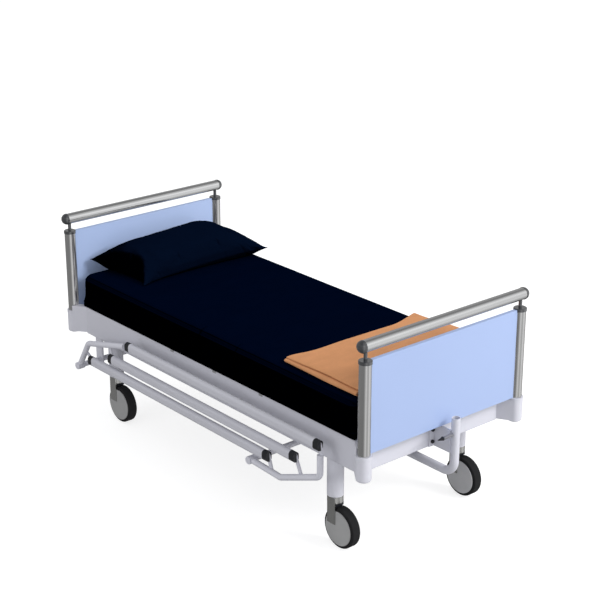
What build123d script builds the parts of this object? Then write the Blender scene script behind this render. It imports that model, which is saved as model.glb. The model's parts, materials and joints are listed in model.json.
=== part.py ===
from build123d import *
import os
from math import cos, radians, sin, tan

# A hospital ward bed: frame on four casters, lift-off end boards, folding side guards,
# a four-section deck with a segmented mattress, a pillow, a folded blanket and a pole holder.
# Millimetres, +Z up, +Y towards the head, origin on the floor under the middle of the outside box.
# Every function below works from the middle of the frame, with heights from a datum FLOOR_Z
# below the floor; save() moves the part by SHIFT_Y and down by FLOOR_Z.

# Driving dimensions
SHIFT_Y = 23.0          # the pole holder sticks out further at the foot than the sockets do at the head
FLOOR_Z = 6.5           # where the wheels stand, above the datum
POST_X = 450.0          # end board posts, from the middle
POST_Y = 1079.0
POST_R = 27.0
POST_WALL = 3.0
SPIGOT_R = 20.0
SPIGOT_LEN = 86.0
SOCKET_R = 33.0
SOCKET_Z0 = 430.0
SOCKET_Z1 = 544.0
POST_TOP_Z = 946.0
CAP_TOP_Z = 960.0
RAIL_Z = 1020.0
RAIL_R = 26.0
RAIL_WALL = 3.0
RAIL_HALF = 463.0
DOME_R = 27.5           # half ball that closes each end of a rail
PLUG_LEN = 4.0
NECK_R = 8.0
NECK_DEPTH = 8.0        # how far a neck reaches into its rail
PANEL_THICK = 18.0
PANEL_Z0 = 545.0
PANEL_Z1 = 955.0

SIDE_X = 430.0          # outer face of a side member
SIDE_THICK = 30.0
SIDE_HALF = 998.0
FRAME_Z0 = 430.0        # underside of the whole frame
SIDE_Z1 = 572.0
CROSS_Z1 = 540.0
CROSS_Y0 = 1000.0
CROSS_HALF = 385.0

LEG_X = 370.0
LEG_Y = {"head": 838.0, "foot": -819.0}
LEG_R = 36.5
LEG_Z0 = 238.0
STEM_R = 12.0
STEM_LEN = 56.0

WHEEL_R = 92.0
WHEEL_HALF = 22.5       # half the tyre's width
WHEEL_TRAIL = 47.0      # how far the axle trails behind the swivel axis
AXLE_Z = FLOOR_Z + WHEEL_R
COVER_R = 78.0
AXLE_R = 6.0

DECK_X = 395.0
DECK_Z0 = 549.0
DECK_Z1 = 572.0
HINGE_Z = 556.0
BACK_HINGE_Y = 250.0
THIGH_HINGE_Y = -70.0
KNEE_Y = -370.0
HINGE_R = 6.0
EAR_R = 12.0
HINGE_GAP = 14.0        # from a hinge line to the edge of each deck beside it
DECK_END = 990.0

BED_Z0 = 573.0          # mattress underside
BED_Z1 = 745.0
BED_X = 436.0
BED_HEAD = 1018.0
BED_FOOT = -982.0
BACK_TURN = 65.0
THIGH_TURN = 25.0

GUARD_X = 506.0         # plane of each side guard
GUARD_Z = 290.0         # height of its pivots
GUARD_FOOT_Y = -416.0
GUARD_HEAD_Y = 960.0
LINK_X = 498.0          # plane of the flat links, in the bars' slots
ARM_R = 14.0
LINK_EYE_R = 11.0
STRUT_HALF = 3.5        # half the thickness of the flat links and eyes
PIVOT_R = 13.5          # cross tube that carries the guards
BAR_HEIGHT = 48.0
BAR_WIDTH = 32.0
BAR_PIN_R = 5.0
BAR_OVERHANG = 12.0     # bar end beyond its pin
BAR_CAP = 30.0
SLOT_GAP = 0.6          # between a link and each wall of its slot
BAR_PINS = {"upper": (-447.0, 237.0), "middle": (-293.0, 126.0), "lower": (-112.0, 60.0)}

BACK_ROD_X = 120.0
BACK_ROD_DROP = 100.0   # rod line below the hinge line
LEG_ROD_X = -120.0
LEG_ROD_DROP = 110.0
ROD_R = 10.0
ROD_PIN_R = 5.0
LEVER_THICK = 10.0
LEVER_TIP_R = 18.0

HOLDER_X = 15.0         # pole holder tube
HOLDER_Y = -1140.0
HOLDER_R = 19.0
HOLDER_BORE = 16.5
HOLDER_TOP = 592.0
HOLDER_LOW = 330.0
HOLDER_BEND = 60.0
KNOB_Z = 519.0
STUD_R = 5.0
BOSS_R = 7.5            # threaded boss for the knob's stud
BOSS_END = -57.0

RUN = 0.05              # radial clearance of every running fit
SIDES = {"left": -1, "right": 1}
ENDS = {"head": 1, "foot": -1}

os.makedirs("parts", exist_ok=True)


# Shapes used all over

def block(x0, x1, y0, y1, z0, z1):
    """A box between two corners."""
    return Pos((x0 + x1) / 2, (y0 + y1) / 2, (z0 + z1) / 2) * Box(abs(x1 - x0), y1 - y0, z1 - z0)


def rod_x(x0, x1, y, z, r):
    """A round bar along X."""
    return Pos((x0 + x1) / 2, y, z) * Rot(0, 90, 0) * Cylinder(r, abs(x1 - x0))


def rod_y(y0, y1, x, z, r):
    """A round bar along Y."""
    return Pos(x, (y0 + y1) / 2, z) * Rot(90, 0, 0) * Cylinder(r, y1 - y0)


def rod_z(z0, z1, x, y, r):
    """A round bar along Z."""
    return Pos(x, y, (z0 + z1) / 2) * Cylinder(r, z1 - z0)


def side_plate(points, x0, x1):
    """A plate with an outline in Y and Z, between two values of X."""
    outline = make_face(Polyline(*points, close=True))
    return extrude(Plane.YZ.offset(min(x0, x1)) * outline, amount=abs(x1 - x0))


def floor_plate(points, z0, z1):
    """A plate with an outline in X and Y, between two heights."""
    outline = make_face(Polyline(*points, close=True))
    return extrude(Plane.XY.offset(z0) * outline, amount=z1 - z0)


def box_tube_y(x0, x1, y0, y1, z0, z1, wall=3.0, corner=5.0):
    """A rectangular tube along Y with rounded corners."""
    section = RectangleRounded(x1 - x0, z1 - z0, corner)
    section -= RectangleRounded(x1 - x0 - 2 * wall, z1 - z0 - 2 * wall, corner - wall)
    start = Plane(((x0 + x1) / 2, y0, (z0 + z1) / 2), x_dir=(1, 0, 0), z_dir=(0, 1, 0))
    return extrude(start * section, amount=y1 - y0)


def box_tube_x(x0, x1, y0, y1, z0, z1, wall=3.0, corner=5.0):
    """A rectangular tube along X with rounded corners."""
    section = RectangleRounded(y1 - y0, z1 - z0, corner)
    section -= RectangleRounded(y1 - y0 - 2 * wall, z1 - z0 - 2 * wall, corner - wall)
    start = Plane((x0, (y0 + y1) / 2, (z0 + z1) / 2), x_dir=(0, 1, 0), z_dir=(1, 0, 0))
    return extrude(start * section, amount=x1 - x0)


def bent_tube(points, bend, r, bore=0.0):
    """A round tube along straight runs joined by arcs."""
    path = FilletPolyline(*points, radius=bend)
    section = Circle(r)
    if bore:
        section -= Circle(bore)
    return sweep(Plane(origin=path @ 0, z_dir=path % 0) * section, path=path)


def save(name, *solids):
    """Writes one node."""
    moved = [Pos(0, SHIFT_Y, -FLOOR_Z) * s for s in solids]
    whole = moved[0] if len(moved) == 1 else Compound(children=moved)
    export_step(whole, f"parts/{name}.step")


# Main frame

PAD_LEN = 26.0
PAD_DEPTH = 10.0
PAD_Y = (265.0, -58.0, -392.0)


def pad_box(side, y):
    """The space of one deck rest pad, in the top edge of a side member."""
    inner, outer = SIDE_X - SIDE_THICK, SIDE_X
    x0, x1 = sorted((side * inner, side * outer))
    return block(x0, x1, y - PAD_LEN / 2, y + PAD_LEN / 2, SIDE_Z1 - PAD_DEPTH, SIDE_Z1)


def side_member(side):
    """A long frame tube, notched for the rest pads near the deck joints."""
    x0, x1 = sorted((side * SIDE_X, side * (SIDE_X - SIDE_THICK)))
    tube = box_tube_y(x0, x1, -SIDE_HALF, SIDE_HALF, FRAME_Z0, SIDE_Z1)
    for y in PAD_Y:
        tube -= pad_box(side, y)
    return tube


def deck_rest_pads():
    """Six nylon pads that close the notches."""
    return [pad_box(s, y) for s in SIDES.values() for y in PAD_Y]


def crossbar(end):
    """The tube across one end of the frame."""
    y0, y1 = sorted((end * CROSS_Y0, end * (CROSS_Y0 + SIDE_THICK)))
    return box_tube_x(-CROSS_HALF, CROSS_HALF, y0, y1, FRAME_Z0, CROSS_Z1)


ARM_ROOT = (415.0, 1015.0)      # where a socket's arm leaves the frame's corner
GUSSET_GAP = 0.6                # between gusset and post
GUSSET_Z0 = SOCKET_Z1 - 10
GUSSET = [
    (SIDE_X - SIDE_THICK, SIDE_HALF),
    (SIDE_X, SIDE_HALF),
    (POST_X + 24, POST_Y - 21),
    (POST_X - 16, POST_Y - 13),
]


def corner_socket(side, end):
    """The socket for one board post, with the arm that ties it to the frame's corner."""
    run_x, run_y = POST_X - ARM_ROOT[0], POST_Y - ARM_ROOT[1]
    length = (run_x ** 2 + run_y ** 2) ** 0.5
    across = (SOCKET_R * run_y / length, SOCKET_R * run_x / length)
    outline = [
        (CROSS_HALF, CROSS_Y0),
        (CROSS_HALF, CROSS_Y0 + SIDE_THICK),
        (POST_X - across[0], POST_Y + across[1]),
        (POST_X + across[0], POST_Y - across[1]),
        (SIDE_X, SIDE_HALF),
        (SIDE_X - SIDE_THICK, SIDE_HALF),
    ]
    arm = floor_plate([(side * x, end * y) for x, y in outline], SOCKET_Z0 + 7, SOCKET_Z1 - 9)
    x, y = side * POST_X, end * POST_Y
    gusset = floor_plate([(side * gx, end * gy) for gx, gy in GUSSET], GUSSET_Z0, SIDE_Z1)
    gusset -= rod_z(GUSSET_Z0, SIDE_Z1, x, y, POST_R + GUSSET_GAP)
    cup = rod_z(SOCKET_Z0, SOCKET_Z1, x, y, SOCKET_R)
    cup = fillet(cup.edges().sort_by(Axis.Z)[0], 9)
    collar = rod_z(SOCKET_Z1 - 12, SOCKET_Z1, x, y, SOCKET_R + 1.0)
    bore = rod_z(SOCKET_Z1 - SPIGOT_LEN - 2, SOCKET_Z1, x, y, SPIGOT_R + RUN)
    return arm + gusset + cup + collar - bore


BEAM_HALF = 30.0
MID_BEAM_Z0 = 448.0
MID_BEAM_Z1 = 520.0
MID_BEAM_HALF = 20.0
HEAD_BEAM_Y = 470.0
SEAT_SUPPORT_Y = (40.0, 120.0)


def leg_beams():
    """The two tubes across the frame that carry the legs."""
    reach = SIDE_X - SIDE_THICK
    return [
        box_tube_x(-reach, reach, y - BEAM_HALF, y + BEAM_HALF, FRAME_Z0, DECK_Z0 - 1)
        for y in LEG_Y.values()
    ]


def middle_beams():
    """Tubes across the frame that hold the actuators and the foot guard tube."""
    reach = SIDE_X - SIDE_THICK
    return [
        box_tube_x(-reach, reach, y - MID_BEAM_HALF, y + MID_BEAM_HALF, MID_BEAM_Z0, MID_BEAM_Z1)
        for y in (GUARD_FOOT_Y, HEAD_BEAM_Y)
    ]


def seat_supports():
    """Two small tubes under the fixed seat deck."""
    reach = SIDE_X - SIDE_THICK
    return [
        box_tube_x(-reach, reach, y - MID_BEAM_HALF, y + MID_BEAM_HALF, DECK_Z0 - 39, DECK_Z0, 2.0, 4.0)
        for y in SEAT_SUPPORT_Y
    ]


def leg(x, y):
    """A round leg, hollow above, bored for the caster's stem below."""
    hollow = rod_z(LEG_Z0 + 70, FRAME_Z0, x, y, LEG_R - 4)
    stem = rod_z(LEG_Z0, LEG_Z0 + STEM_LEN + 2, x, y, STEM_R + RUN)
    return rod_z(LEG_Z0, FRAME_Z0, x, y, LEG_R) - hollow - stem


HANGER_HALF = 5.0       # half a hanger plate's thickness
HANGER_REACH = 17.0     # from the cross tube's middle to a hanger's edge
HEAD_HANGER_X = 378.0
HEAD_HANGER_TOP = 500.0
FOOT_HANGER_X = 200.0
TUBE_END = 522.0
BOSS_HALF = 14.5


def guard_cross_tube(y, hanger_x, hanger_y0, hanger_y1, hanger_top):
    """The tube that carries both guards at one end, with its stops and its two hangers."""
    tube = rod_x(-TUBE_END, TUBE_END, y, GUARD_Z, PIVOT_R)
    for side in SIDES.values():
        near, far = BOSS_HALF + 0.5, GUARD_X + 18
        tube += rod_x(side * (GUARD_X - near - 6), side * (GUARD_X - near), y, GUARD_Z, PIVOT_R + 4)
        tube += rod_x(side * (GUARD_X + near), side * far, y, GUARD_Z, PIVOT_R + 4)
    hangers = []
    for side in SIDES.values():
        x = side * hanger_x
        hanger = block(x - HANGER_HALF, x + HANGER_HALF, hanger_y0, hanger_y1,
                       GUARD_Z - 24, hanger_top)
        hanger = fillet(hanger.edges().filter_by(Axis.Z), 3)
        hangers.append(hanger - rod_x(x - 30, x + 30, y, GUARD_Z, PIVOT_R))
    return [tube] + hangers


# Deck sections and their hinges

RIB = 22.0
SKIN = 3.0
EARS_X = ((335.0, 350.0), (380.0, DECK_X))
PIN_X = (340.0, 390.0)
LUG_X = (352.0, 378.0)      # between the two ears


def deck_pan(y0, y1):
    """A deck section: a pressed pan, ribbed underneath and pierced for air."""
    pan = block(-DECK_X, DECK_X, y0, y1, DECK_Z0, DECK_Z1)
    pan = fillet(pan.edges().filter_by(Axis.Z), 10)
    rows = max(1, round((y1 - y0) / 150))
    columns = 4
    pitch_y = (y1 - y0 - RIB) / rows
    pitch_x = (2 * DECK_X - RIB) / columns
    for i in range(rows):
        for j in range(columns):
            x = -DECK_X + RIB + j * pitch_x
            y = y0 + RIB + i * pitch_y
            pan -= block(x, x + pitch_x - RIB, y, y + pitch_y - RIB, DECK_Z0, DECK_Z1 - SKIN)
            slot_y = y + (pitch_y - RIB) / 2
            pan -= block(x + 30, x + pitch_x - RIB - 30, slot_y - 8, slot_y + 8,
                         DECK_Z1 - SKIN, DECK_Z1)
    return pan


def hinge_outer(hinge_y, side_of_deck):
    """Both hinges' ears and pins, on the deck that carries them."""
    ears = None
    edge = hinge_y + side_of_deck * (HINGE_GAP + 4)
    y0, y1 = sorted((hinge_y, edge))
    for side in SIDES.values():
        for a, b in EARS_X:
            x0, x1 = sorted((side * a, side * b))
            ear = block(x0, x1, y0, y1, DECK_Z0, HINGE_Z + EAR_R) + rod_x(x0, x1, hinge_y, HINGE_Z, EAR_R)
            ears = ear if ears is None else ears + ear
        ears += rod_x(side * PIN_X[0], side * PIN_X[1], hinge_y, HINGE_Z, HINGE_R)
    return ears


def hinge_inner(hinge_y, side_of_deck):
    """Both hinges' lugs, on the deck that swings."""
    lugs = None
    edge = hinge_y + side_of_deck * (HINGE_GAP + 4)
    y0, y1 = sorted((hinge_y, edge))
    for side in SIDES.values():
        x0, x1 = sorted((side * LUG_X[0], side * LUG_X[1]))
        lug = block(x0, x1, y0, y1, DECK_Z0, HINGE_Z + EAR_R) + rod_x(x0, x1, hinge_y, HINGE_Z, EAR_R)
        lug -= rod_x(x0 - 1, x1 + 1, hinge_y, HINGE_Z, HINGE_R + RUN)
        lugs = lug if lugs is None else lugs + lug
    return lugs


def lever(x, hinge_y, drop, half_turn, lean, slack, far, near):
    """A slotted lever under a deck; its slot lies along a line through the hinge."""
    dy, dz = lean * sin(radians(half_turn)), -cos(radians(half_turn))
    tip = drop / cos(radians(half_turn)) - 4
    tip_y, tip_z = hinge_y + dy * tip, HINGE_Z + dz * tip
    wide_y, wide_z = lean * -dz * LEVER_TIP_R, lean * dy * LEVER_TIP_R
    outline = [
        (hinge_y + near, DECK_Z0),
        (tip_y + wide_y, tip_z + wide_z),
        (tip_y - wide_y, tip_z - wide_z),
        (hinge_y + far, DECK_Z0),
    ]
    plate = side_plate(outline, x - LEVER_THICK / 2, x + LEVER_THICK / 2)
    foot0, foot1 = sorted((hinge_y + near, hinge_y + far))
    plate += block(x - 14, x + 14, foot0, foot1, DECK_Z0, DECK_Z1 - SKIN / 2)
    plate += rod_x(x - LEVER_THICK / 2, x + LEVER_THICK / 2, tip_y, tip_z, LEVER_TIP_R)
    half = ROD_PIN_R + slack
    for step in range(6):
        reach = drop - 3 + step * (drop / cos(radians(half_turn)) - drop + 6) / 5
        plate -= rod_x(x - 8, x + 8, hinge_y + dy * reach, HINGE_Z + dz * reach, half)
    ends = [drop - 3, drop / cos(radians(half_turn)) + 3]
    slot = []
    for reach, sign in ((ends[0], -1), (ends[1], -1), (ends[1], 1), (ends[0], 1)):
        slot.append((hinge_y + dy * reach + sign * half * -dz, HINGE_Z + dz * reach + sign * half * dy))
    return plate - side_plate(slot, x - 8, x + 8)


def back_deck():
    """The backrest section with its lever."""
    deck = deck_pan(BACK_HINGE_Y + HINGE_GAP, DECK_END) + hinge_inner(BACK_HINGE_Y, 1)
    return deck + lever(BACK_ROD_X, BACK_HINGE_Y, BACK_ROD_DROP, BACK_TURN / 2, -1, 3.2, 95, 25)


def seat_deck():
    """The fixed seat section, with the hinges of the backrest and of the thigh section."""
    deck = deck_pan(THIGH_HINGE_Y + HINGE_GAP, BACK_HINGE_Y - HINGE_GAP)
    return deck + hinge_outer(BACK_HINGE_Y, -1) + hinge_outer(THIGH_HINGE_Y, 1)


def thigh_deck():
    """The thigh section with its lever and the knee hinges."""
    deck = deck_pan(KNEE_Y + HINGE_GAP, THIGH_HINGE_Y - HINGE_GAP)
    deck += hinge_inner(THIGH_HINGE_Y, -1) + hinge_outer(KNEE_Y, 1)
    return deck + lever(LEG_ROD_X, THIGH_HINGE_Y, LEG_ROD_DROP, THIGH_TURN / 2, 1, 0.6, -80, -18)


def calf_deck():
    """The calf section."""
    return deck_pan(-DECK_END, KNEE_Y - HINGE_GAP) + hinge_inner(KNEE_Y, -1)


# Bedding

def pad_slice(bottom0, top0, bottom1, top1):
    """A length of mattress; its two end faces may slope to leave room for a joint."""
    outline = [(bottom0, BED_Z0), (top0, BED_Z1), (top1, BED_Z1), (bottom1, BED_Z0)]
    piece = side_plate(outline, -BED_X, BED_X)
    piece = fillet(piece.edges().filter_by(Axis.Y).sort_by(Axis.Z)[-2:], 40)
    return fillet(piece.edges().filter_by(Axis.Y).sort_by(Axis.Z)[:2], 8)


def slope(hinge_y, degrees, direction):
    """Where a sloping end face meets the mattress's underside and its top."""
    lean = direction * tan(radians(degrees))
    return hinge_y + lean * (BED_Z0 - HINGE_Z), hinge_y + lean * (BED_Z1 - HINGE_Z)


def mattress_slices():
    """The mattress in four lengths, one on each deck section."""
    half_back, half_thigh = BACK_TURN / 2 + 0.8, THIGH_TURN / 2 + 1.0
    back = slope(BACK_HINGE_Y, half_back, 1)
    seat_head = slope(BACK_HINGE_Y, half_back, -1)
    seat_foot = slope(THIGH_HINGE_Y, half_thigh, 1)
    thigh = slope(THIGH_HINGE_Y, half_thigh, -1)
    return {
        "mattress_back": pad_slice(*back, BED_HEAD, BED_HEAD),
        "mattress_seat": pad_slice(*seat_foot, *seat_head),
        "mattress_thigh": pad_slice(KNEE_Y + 1, KNEE_Y + 1, *thigh),
        "mattress_calf": pad_slice(BED_FOOT, BED_FOOT, KNEE_Y - 1, KNEE_Y - 1),
    }


def pillow():
    """A plain solid of the pillow's size, a little askew, against the headboard."""
    corners = [(-300, 662), (430, 642), (345, 1032), (-364, 1032)]
    solid = floor_plate(corners, BED_Z1 + 0.6, 870.0)
    solid = fillet(solid.edges().filter_by(Axis.Z), 40)
    return fillet(solid.faces().sort_by(Axis.Z)[-1].edges(), 30)


def blanket():
    """A plain solid of the folded blanket's size, across the foot of the mattress."""
    solid = block(-396, 425, -976, -530, BED_Z1 + 0.6, 781.0)
    return fillet(solid.edges().filter_by(Axis.Z), 10)


# Actuators

BODY_R = 26.0           # guide tube
CASE_HALF = 42.0        # half the motor case's width and height
CASE_LEN = 90.0
REAR_LUG_HALF = 12.0
FORK_REACH = 50.0       # from the fork's pin to its root
FORK_IN = 6.5           # half the room between the fork's cheeks
FORK_OUT = 12.5

def fork_rod(x, pin_y, z, towards, length):
    """A push rod; its fork straddles the lever and holds the pin."""
    base = pin_y + towards * FORK_REACH
    y0, y1 = sorted((base, base + towards * length))
    rod = rod_y(y0, y1, x, z, ROD_R)
    c0, c1 = sorted((base - towards * 1, base + towards * 8))
    rod += block(x - FORK_OUT, x + FORK_OUT, c0, c1, z - ROD_R, z + ROD_R)
    for cheek in (-1, 1):
        x0, x1 = sorted((x + cheek * FORK_IN, x + cheek * FORK_OUT))
        f0, f1 = sorted((pin_y - towards * 12, base + towards * 8))
        rod += block(x0, x1, f0, f1, z - ROD_R, z + ROD_R)
    return rod + rod_x(x - 14, x + 14, pin_y, z, ROD_PIN_R)


def actuator_housing(x, z, front, towards, tube_len, lug_end):
    """A linear actuator's body: guide tube, motor case and rear lug."""
    back = front + towards * tube_len
    y0, y1 = sorted((front, back))
    body = rod_y(y0, y1, x, z, BODY_R)
    m0, m1 = sorted((back - towards * 10, back + towards * CASE_LEN))
    case = block(x - CASE_HALF, x + CASE_HALF, m0, m1, z - CASE_HALF, z + CASE_HALF)
    body += fillet(case.edges().filter_by(Axis.Y), CASE_HALF / 3)
    l0, l1 = sorted((back + towards * (CASE_LEN - 1), lug_end))
    body += block(x - REAR_LUG_HALF, x + REAR_LUG_HALF, l0, l1, MID_BEAM_Z0 + 4, MID_BEAM_Z0 + 40)
    b0, b1 = sorted((front, front + towards * (tube_len - 20)))
    return body - rod_y(b0, b1, x, z, ROD_R + RUN)


# End boards

def rail_dome(side, y):
    """The half ball that closes a rail, with its plug."""
    ball = Pos(side * RAIL_HALF, y, RAIL_Z) * Sphere(DOME_R)
    inner = block(side * RAIL_HALF, side * (RAIL_HALF - 2 * DOME_R), y - DOME_R, y + DOME_R,
                  RAIL_Z - DOME_R, RAIL_Z + DOME_R)
    plug = rod_x(side * (RAIL_HALF - PLUG_LEN), side * RAIL_HALF, y, RAIL_Z, RAIL_R - RAIL_WALL)
    return ball - inner + plug


def board(end):
    """One lift-off end board: posts, panel, rail and plastic caps."""
    y = end * POST_Y
    half = PANEL_THICK / 2
    panel = block(-POST_X + 20, POST_X - 20, y - half, y + half, PANEL_Z0, PANEL_Z1)
    posts, caps = [], []
    rail = rod_x(-RAIL_HALF, RAIL_HALF, y, RAIL_Z, RAIL_R)
    rail -= rod_x(-RAIL_HALF, RAIL_HALF, y, RAIL_Z, RAIL_R - RAIL_WALL)
    for side in SIDES.values():
        x = side * POST_X
        post = rod_z(SOCKET_Z1, POST_TOP_Z, x, y, POST_R)
        post -= rod_z(SOCKET_Z1 + 20, POST_TOP_Z, x, y, POST_R - POST_WALL)
        spigot = rod_z(SOCKET_Z1 - SPIGOT_LEN, SOCKET_Z1 + 1, x, y, SPIGOT_R)
        spigot = chamfer(spigot.edges().sort_by(Axis.Z)[0], 3)
        posts.append(post + spigot - panel)
        disc = rod_z(POST_TOP_Z, CAP_TOP_Z, x, y, POST_R + 2.5)
        disc = fillet(disc.edges().sort_by(Axis.Z)[-1], 4)
        neck_top = RAIL_Z - RAIL_R + NECK_DEPTH
        neck = rod_z(CAP_TOP_Z - 1, neck_top, x, y, NECK_R)
        caps.append(disc + neck - panel)
        rail -= rod_z(RAIL_Z - RAIL_R - 2, neck_top, x, y, NECK_R)
        caps.append(rail_dome(side, y))
    return {"posts": posts, "panel": [panel], "rail": [rail], "caps": caps}


# Side guards

def link(x, points, width):
    """A flat link between two points."""
    (ay, az), (by, bz) = points
    length = ((by - ay) ** 2 + (bz - az) ** 2) ** 0.5
    ny, nz = -(bz - az) / length * width / 2, (by - ay) / length * width / 2
    outline = [(ay + ny, az + nz), (by + ny, bz + nz), (by - ny, bz - nz), (ay - ny, az - nz)]
    return side_plate(outline, x - STRUT_HALF, x + STRUT_HALF)


def guard_arm(side, pivot_y, route, bend, links, eye_clear):
    """A bent tube on the cross tube, with an eye for each bar."""
    x, link_x = side * GUARD_X, side * LINK_X
    points = [(x, pivot_y + dy, GUARD_Z + dz) for dy, dz in route]
    arm = bent_tube(points, bend, ARM_R)
    arm += rod_x(x - BOSS_HALF, x + BOSS_HALF, pivot_y, GUARD_Z, PIVOT_R + 5)
    for pin, foot, width in links:
        dy, dz = BAR_PINS[pin]
        eye = (pivot_y + dy, GUARD_Z + dz)
        arm += link(link_x, (eye, (pivot_y + foot[0], GUARD_Z + foot[1])), width)
        arm += rod_x(link_x - STRUT_HALF, link_x + STRUT_HALF, eye[0], eye[1], LINK_EYE_R)
    for pin, foot, width in links:
        dy, dz = BAR_PINS[pin]
        arm -= rod_x(x - 20, x + 20, pivot_y + dy, GUARD_Z + dz, BAR_PIN_R + eye_clear)
    return arm - rod_x(x - 20, x + 20, pivot_y, GUARD_Z, PIVOT_R + RUN)


def guard_arms(side):
    """The foot arm and the head arm of one guard."""
    foot_route = [(0, 0), (-202, -8), (-460, 94), (-460, 196)]
    foot_links = [
        ("upper", (-460, 188), 22),
        ("middle", (-331, 46), 18),
        ("lower", (-133, -2), 20),
    ]
    head_route = [(0, 0), (-91, 146), (-410, 229)]
    head_links = [
        ("upper", (-402, 227), 22),
        ("middle", (-270, 192), 16),
        ("lower", (-55, 88), 16),
    ]
    foot = guard_arm(side, GUARD_FOOT_Y, foot_route, 35, foot_links, RUN)
    head = guard_arm(side, GUARD_HEAD_Y, head_route, 35, head_links, 0.3)
    return foot, head


def stadium(width, height):
    """An upright slot outline."""
    return Rot(0, 0, 90) * SlotOverall(height, width)


def guard_bar(side, pin):
    """A hollow bar with a slotted cap and a pin at each end."""
    x = side * GUARD_X
    dy, dz = BAR_PINS[pin]
    z = GUARD_Z + dz
    foot_y, head_y = GUARD_FOOT_Y + dy, GUARD_HEAD_Y + dy
    joint = BAR_CAP - BAR_OVERHANG
    start = Plane((x, foot_y + joint, z), x_dir=(1, 0, 0), z_dir=(0, 1, 0))
    section = stadium(BAR_WIDTH, BAR_HEIGHT) - stadium(BAR_WIDTH - 5, BAR_HEIGHT - 5)
    tube = extrude(start * section, amount=head_y - foot_y - 2 * joint)
    solids = [tube]
    for pin_y, outward in ((foot_y, -1), (head_y, 1)):
        y0, y1 = sorted((pin_y - outward * joint, pin_y + outward * BAR_OVERHANG))
        face = Plane((x, y0, z), x_dir=(1, 0, 0), z_dir=(0, 1, 0))
        cap = extrude(face * stadium(BAR_WIDTH, BAR_HEIGHT), amount=y1 - y0)
        s0, s1 = sorted((pin_y - outward * 14, pin_y + outward * (BAR_OVERHANG + 1)))
        cap -= block(side * LINK_X - STRUT_HALF - SLOT_GAP, side * LINK_X + STRUT_HALF + SLOT_GAP,
                     s0, s1, z - BAR_HEIGHT, z + BAR_HEIGHT)
        solids.append(cap + rod_x(x - BAR_WIDTH / 2, x + BAR_WIDTH / 2, pin_y, z, BAR_PIN_R))
    return solids


# Casters

TREAD_DEPTH = 18.0
CHEEK_IN = 27.5
CHEEK_OUT = 31.5
CHEEK_Z0 = 112.0
CHEEK_Z1 = LEG_Z0 - 1
SLEEVE_Z0 = 207.0
BOSS_BACK = 18.0        # cheek boss that holds the thread guards
BOSS_Z = 124.0
CHEEK_BOSS_R = 8.0
BOSS_IN = 24.0
TYRE_GAP = 1.5
GUARD_GAP = 0.8         # between the wheel and each thread guard
FENDER_HALF = 24.0
FENDER_Y = (-27.0, 14.0)
WIDE_CHEEK = [(-33, CHEEK_Z0), (17, CHEEK_Z0), (17, CHEEK_Z1), (-33, CHEEK_Z1)]
NARROW_CHEEK = [
    (-27, CHEEK_Z0), (17, CHEEK_Z0), (17, CHEEK_Z1), (-10, CHEEK_Z1), (-10, 172), (-27, 152),
]


def caster_fork(x, y, axle_y):
    """The sleeve under the leg with its stem, two cheeks, their bosses and the axle."""
    fork = rod_z(SLEEVE_Z0, LEG_Z0 - 1, x, y, LEG_R - 1)
    fork += rod_z(LEG_Z0 - 2, LEG_Z0 + STEM_LEN, x, y, STEM_R)
    for cheek, outline in ((-1, WIDE_CHEEK), (1, NARROW_CHEEK)):
        fork += side_plate([(y + dy, z) for dy, z in outline], x + cheek * CHEEK_IN, x + cheek * CHEEK_OUT)
        boss0, boss1 = sorted((x + cheek * BOSS_IN, x + cheek * CHEEK_OUT))
        fork += rod_x(boss0, boss1, y - BOSS_BACK, BOSS_Z, CHEEK_BOSS_R)
    return fork + rod_x(x - CHEEK_IN, x + CHEEK_IN, axle_y, AXLE_Z, AXLE_R)


def caster_guards(x, y, axle_y):
    """Thread guards on both sides of the wheel, and the fender between sleeve and tyre."""
    guards = []
    for cheek in (-1, 1):
        x0, x1 = sorted((x + cheek * (WHEEL_HALF + GUARD_GAP), x + cheek * CHEEK_IN))
        disc = rod_x(x0, x1, axle_y, AXLE_Z, COVER_R)
        outer = disc.edges().filter_by(GeomType.CIRCLE).sort_by(Axis.X)[-1 if cheek > 0 else 0]
        disc = fillet(outer, 1.5) - rod_x(x - 30, x + 30, axle_y, AXLE_Z, AXLE_R)
        guards.append(disc - rod_x(x - 40, x + 40, y - BOSS_BACK, BOSS_Z, CHEEK_BOSS_R))
    y0, y1 = y + FENDER_Y[0], y + FENDER_Y[1]
    fender = block(x - FENDER_HALF, x + FENDER_HALF, y0, y1, AXLE_Z + WHEEL_R / 2, SLEEVE_Z0)
    guards.append(fender - rod_x(x - 25, x + 25, axle_y, AXLE_Z, WHEEL_R + TYRE_GAP))
    return guards


def caster_wheel(x, axle_y):
    """Rubber tread on a plastic hub."""
    tread = rod_x(x - WHEEL_HALF, x + WHEEL_HALF, axle_y, AXLE_Z, WHEEL_R)
    tread = fillet(tread.edges().filter_by(GeomType.CIRCLE), 6)
    tread -= rod_x(x - 30, x + 30, axle_y, AXLE_Z, WHEEL_R - TREAD_DEPTH)
    hub = rod_x(x - WHEEL_HALF + 2, x + WHEEL_HALF - 2, axle_y, AXLE_Z, WHEEL_R - TREAD_DEPTH)
    hub -= rod_x(x - 30, x + 30, axle_y, AXLE_Z, AXLE_R + RUN)
    return [tread, hub]


# Pole holder at the foot

BRACKET_Z0 = 432.0
BRACKET_Z1 = 538.0
BOLT_X = -17.0
BOLT_HEIGHTS = (509.0, 454.0)
BOLT_R = 4.0
PLATE_X = (-34.0, -7.0) # the two edges of the bracket's plate
WEB_X1 = -1.0           # the web stands beside the plate, up to here
PLATE_THICK = 6.0
FOOT_FACE = -(CROSS_Y0 + SIDE_THICK)


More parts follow.
